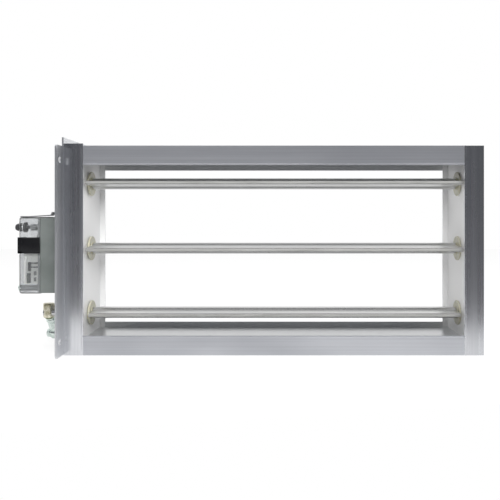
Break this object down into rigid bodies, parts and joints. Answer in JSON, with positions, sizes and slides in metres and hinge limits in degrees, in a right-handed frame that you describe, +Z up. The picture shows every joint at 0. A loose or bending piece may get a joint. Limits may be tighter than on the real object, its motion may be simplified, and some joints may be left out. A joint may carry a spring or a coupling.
{
  "type": "volume control damper",
  "caption": "Slip-in rectangular duct damper: aluminium channel frame, aerofoil blades on side shafts, tie rod linkage and direct coupled actuator outside its mounting plate.",
  "frame": {"origin": "centre of the mounting plate's screw pattern, on the plate's duct side face", "axes": "+X along the blades into the duct, +Y with the air stream from front to back, +Z up"},
  "size_m": [0.5755, 0.1516, 0.262],
  "materials": {
    "mill_aluminium": "mill finish, fine extrusion lines",
    "blade_aluminium": "mill finish extrusion",
    "plate_aluminium": "mill finish sheet",
    "seal_rubber": "matt grey",
    "bearing_nylon": "natural ivory",
    "shaft_steel": "ground",
    "yellow_zinc": "yellow passivated zinc",
    "bright_zinc": "bright zinc",
    "grey_paint": "satin grey",
    "grey_plastic": "moulded",
    "clear_plastic": "clear, polished",
    "black_plastic": "smooth",
    "dark_plastic": "moulded",
    "white_nylon": "natural white",
    "pinion_brass": "machined",
    "motor_steel": "drawn can",
    "board_laminate": "pale laminate",
    "terminal_plastic": "moulded"
  },
  "bodies": {
    "frame": {"actuator_base": "grey_plastic", "actuator_bracket": "grey_paint", "actuator_cover": "clear_plastic", "bearing_left_bottom": "bearing_nylon", "bearing_left_middle": "bearing_nylon", "bearing_left_top": "bearing_nylon", "bearing_right_bottom": "bearing_nylon", "bearing_right_middle": "bearing_nylon", "bearing_right_top": "bearing_nylon", "bracket_bolts": "bright_zinc", "button_guide": "grey_plastic", "circuit_board": "board_laminate", "conduit_plug": "black_plastic", "corner_screws": "bright_zinc", "cover_latch": "grey_plastic", "cover_screws": "bright_zinc", "gear_motor": "motor_steel", "gear_plate": "grey_plastic", "jamb_left": "mill_aluminium", "jamb_right": "mill_aluminium", "label_plate": "black_plastic", "limit_switches": "black_plastic", "mounting_plate": "plate_aluminium", "plate_cleats": "mill_aluminium", "plate_screws": "bright_zinc", "rail_bottom": "mill_aluminium", "rail_top": "mill_aluminium", "shaft_bushing": "white_nylon", "terminal_block": "terminal_plastic"},
    "blade_middle": {"blade_middle": "blade_aluminium", "blade_seals_middle": "seal_rubber", "drive_shaft_middle": "shaft_steel", "idler_pin_middle": "shaft_steel", "crank_middle": "yellow_zinc", "crank_screw_middle": "bright_zinc", "output_gear": "white_nylon", "position_indicator": "black_plastic"},
    "blade_top": {"blade_top": "blade_aluminium", "blade_seals_top": "seal_rubber", "drive_shaft_top": "shaft_steel", "idler_pin_top": "shaft_steel", "crank_top": "yellow_zinc", "crank_screw_top": "bright_zinc"},
    "blade_bottom": {"blade_bottom": "blade_aluminium", "blade_seals_bottom": "seal_rubber", "drive_shaft_bottom": "shaft_steel", "idler_pin_bottom": "shaft_steel", "crank_hub_bottom": "yellow_zinc", "crank_screw_bottom": "bright_zinc", "crank_eye_bolt": "bright_zinc", "crank_lock_nut": "bright_zinc"},
    "tie_rod": {"tie_rod": "bright_zinc", "rod_swivel_bottom": "bright_zinc", "rod_swivel_middle": "bright_zinc", "rod_swivel_top": "bright_zinc", "swivel_nut": "bright_zinc", "swivel_clips": "bright_zinc", "rod_set_screws": "bright_zinc"},
    "motor_pinion": {"motor_pinion": "pinion_brass"},
    "release_button": {"release_button": "dark_plastic"}
  },
  "joints": [
    {"name": "blade_middle_turn", "type": "hinge", "parent": "frame", "child": "blade_middle", "pos_m": [0, 0, 0], "axis": [1, 0, 0], "range_deg": [0, 90]},
    {"name": "blade_top_turn", "type": "hinge", "parent": "frame", "child": "blade_top", "pos_m": [0, 0, 0.0823], "axis": [1, 0, 0], "range_deg": [0, 90]},
    {"name": "blade_bottom_turn", "type": "hinge", "parent": "frame", "child": "blade_bottom", "pos_m": [0, 0, -0.0823], "axis": [1, 0, 0], "range_deg": [0, 90]},
    {"name": "tie_rod_swing", "type": "hinge", "parent": "blade_middle", "child": "tie_rod", "pos_m": [-0.026, 0.02013, -0.02985], "axis": [1, 0, 0], "range_deg": [-90, 0]},
    {"name": "pinion_spin", "type": "hinge", "parent": "frame", "child": "motor_pinion", "pos_m": [-0.041, 0.02121, -0.02528], "axis": [1, 0, 0], "range_deg": [-240, 0]},
    {"name": "release_press", "type": "slide", "parent": "frame", "child": "release_button", "axis": [1, 0, 0], "range_m": [0, 0.004], "stiffness_N_per_m": 500, "springref_m": -0.003}
  ],
  "couplings": [
    {"joint": "blade_top_turn", "follows": "blade_middle_turn", "ratio": 1},
    {"joint": "blade_bottom_turn", "follows": "blade_middle_turn", "ratio": 1},
    {"joint": "tie_rod_swing", "follows": "blade_middle_turn", "ratio": -1},
    {"joint": "pinion_spin", "follows": "blade_middle_turn", "ratio": -2.6667}
  ]
}
